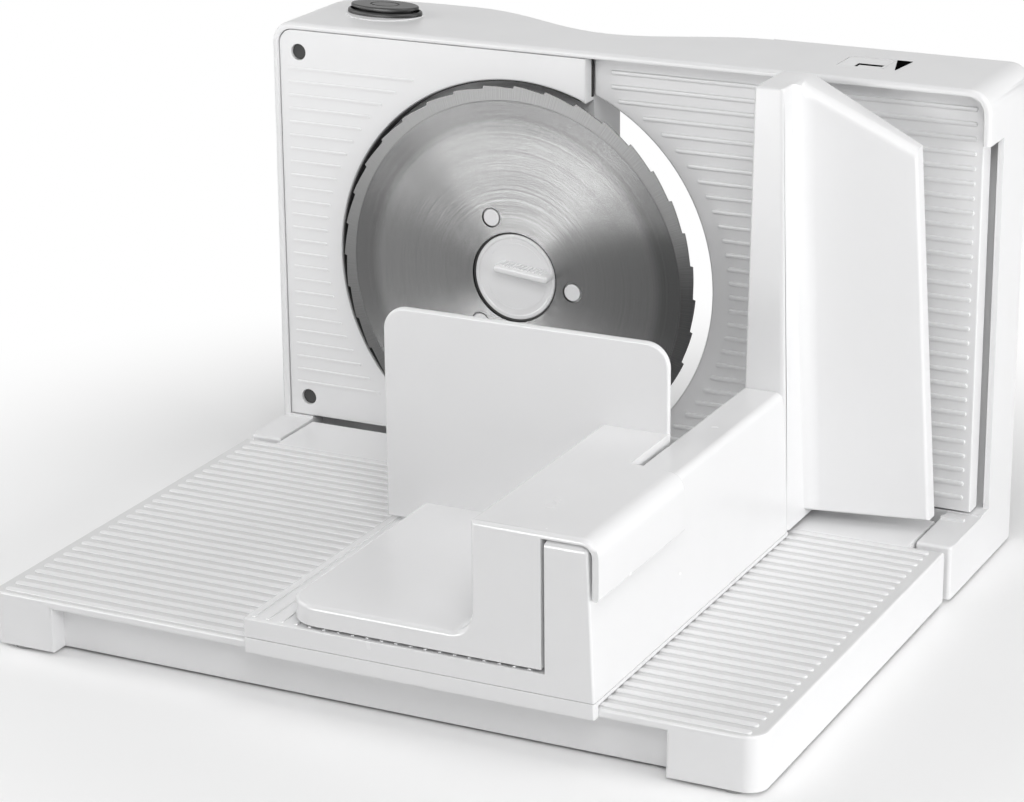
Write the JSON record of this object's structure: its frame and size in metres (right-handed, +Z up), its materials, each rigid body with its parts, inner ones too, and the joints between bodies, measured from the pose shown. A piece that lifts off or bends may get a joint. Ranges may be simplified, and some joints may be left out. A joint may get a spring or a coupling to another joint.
{
  "type": "electric food slicer",
  "caption": "White folding electric food slicer with a serrated round blade, an adjustable thickness plate and a sliding carriage with hand guard and food holder.",
  "frame": {"origin": "on the table, under the middle of the object's bounding box", "axes": "+X to the right seen from the carriage side, +Y from the carriage to the housing's rear, +Z up"},
  "size_m": [0.332, 0.3044, 0.2135],
  "materials": {
    "white_plastic": "satin white",
    "nylon": "natural",
    "black_plastic": "satin black",
    "clear_plastic": "clear",
    "rubber": "matt",
    "blade_steel": "ground in circles",
    "steel": "turned",
    "zinc": "zinc plated",
    "bronze": "sintered"
  },
  "bodies": {
    "housing": {"housing_shell": "white_plastic", "blade_surround_panel": "white_plastic", "panel_screw_upper": "zinc", "panel_screw_lower": "zinc", "motor_cover": "white_plastic", "motor_cover_screw_1": "zinc", "motor_cover_screw_2": "zinc", "motor_cover_screw_3": "zinc", "motor_cover_screw_4": "zinc", "mechanism_cover": "white_plastic", "mechanism_cover_screw_1": "zinc", "mechanism_cover_screw_2": "zinc", "cord_inlet": "rubber", "bearing_bush": "bronze", "intermediate_shaft": "steel", "gear_plate": "zinc", "gear_plate_screw_1": "zinc", "gear_plate_screw_2": "zinc", "gear_plate_screw_3": "zinc", "motor_can": "zinc", "button_bezel": "black_plastic", "button_spring": "steel", "microswitch": "black_plastic", "indicator_window": "clear_plastic", "guide_bush_lower": "nylon", "guide_bush_upper": "nylon", "hinge_pin_left": "steel", "hinge_pin_right": "steel", "rear_foot_left": "rubber", "rear_foot_right": "rubber"},
    "blade_drive": {"slicing_blade": "blade_steel", "drive_flange": "white_plastic", "blade_shaft": "steel", "blade_gear": "nylon"},
    "blade_lock": {"blade_lock_knob": "white_plastic"},
    "intermediate": {"intermediate_gear": "nylon"},
    "motor_rotor": {"motor_pinion": "steel"},
    "button": {"power_button": "black_plastic"},
    "thickness": {"thickness_plate": "white_plastic", "guide_rod_lower": "steel", "guide_rod_upper": "steel", "adjuster_nut": "nylon", "scale_slider": "white_plastic"},
    "knob": {"thickness_knob": "white_plastic", "adjuster_spindle": "steel"},
    "base": {"base_plate": "white_plastic", "base_foot_left": "rubber", "base_foot_right": "rubber"},
    "sled": {"carriage_sled": "white_plastic"},
    "carriage": {"carriage_table": "white_plastic", "hand_guard": "white_plastic", "guard_screw_1": "zinc", "guard_screw_2": "zinc"},
    "holder": {"food_holder": "white_plastic"}
  },
  "joints": [
    {"name": "blade_spin", "type": "hinge", "parent": "housing", "child": "blade_drive", "pos_m": [-0.045, 0.0838, 0.1065], "axis": [0, 1, 0], "continuous": true},
    {"name": "lock_turn", "type": "hinge", "parent": "blade_drive", "child": "blade_lock", "pos_m": [-0.045, 0.0778, 0.1065], "axis": [0, 1, 0], "range_deg": [0, 60]},
    {"name": "intermediate_spin", "type": "hinge", "parent": "housing", "child": "intermediate", "pos_m": [-0.07531, 0.1038, 0.124], "axis": [0, 1, 0], "continuous": true},
    {"name": "motor_spin", "type": "hinge", "parent": "housing", "child": "motor_rotor", "pos_m": [-0.10248, 0.1068, 0.13128], "axis": [0, 1, 0], "continuous": true},
    {"name": "button_press", "type": "slide", "parent": "housing", "child": "button", "axis": [0, 0, -1], "range_m": [0, 0.0025], "stiffness_N_per_m": 400, "springref_m": -0.002, "deforming": ["button_spring"]},
    {"name": "plate_adjust", "type": "slide", "parent": "housing", "child": "thickness", "axis": [0, 1, 0], "range_m": [-0.011, 0.004]},
    {"name": "knob_turn", "type": "hinge", "parent": "housing", "child": "knob", "pos_m": [0.124, 0.1438, 0.115], "axis": [0, 1, 0], "range_deg": [-198, 72]},
    {"name": "base_fold", "type": "hinge", "parent": "housing", "child": "base", "pos_m": [0, 0.06978, 0.013], "axis": [-1, 0, 0], "range_deg": [0, 75]},
    {"name": "carriage_slide", "type": "slide", "parent": "base", "child": "sled", "axis": [1, 0, 0], "range_m": [-0.115, 0.04]},
    {"name": "carriage_lift_off", "type": "slide", "parent": "sled", "child": "carriage", "axis": [0, -1, 0], "range_m": [0, 0.435]},
    {"name": "holder_slide", "type": "slide", "parent": "carriage", "child": "holder", "axis": [0, 1, 0], "range_m": [0, 0.1]}
  ],
  "couplings": [
    {"joint": "intermediate_spin", "follows": "blade_spin", "ratio": -4},
    {"joint": "motor_spin", "follows": "blade_spin", "ratio": 16},
    {"joint": "knob_turn", "follows": "plate_adjust", "rad_per_m": 314},
    {"joint": "carriage_lift_off", "follows": "base_fold", "m_per_rad": 0.33}
  ]
}
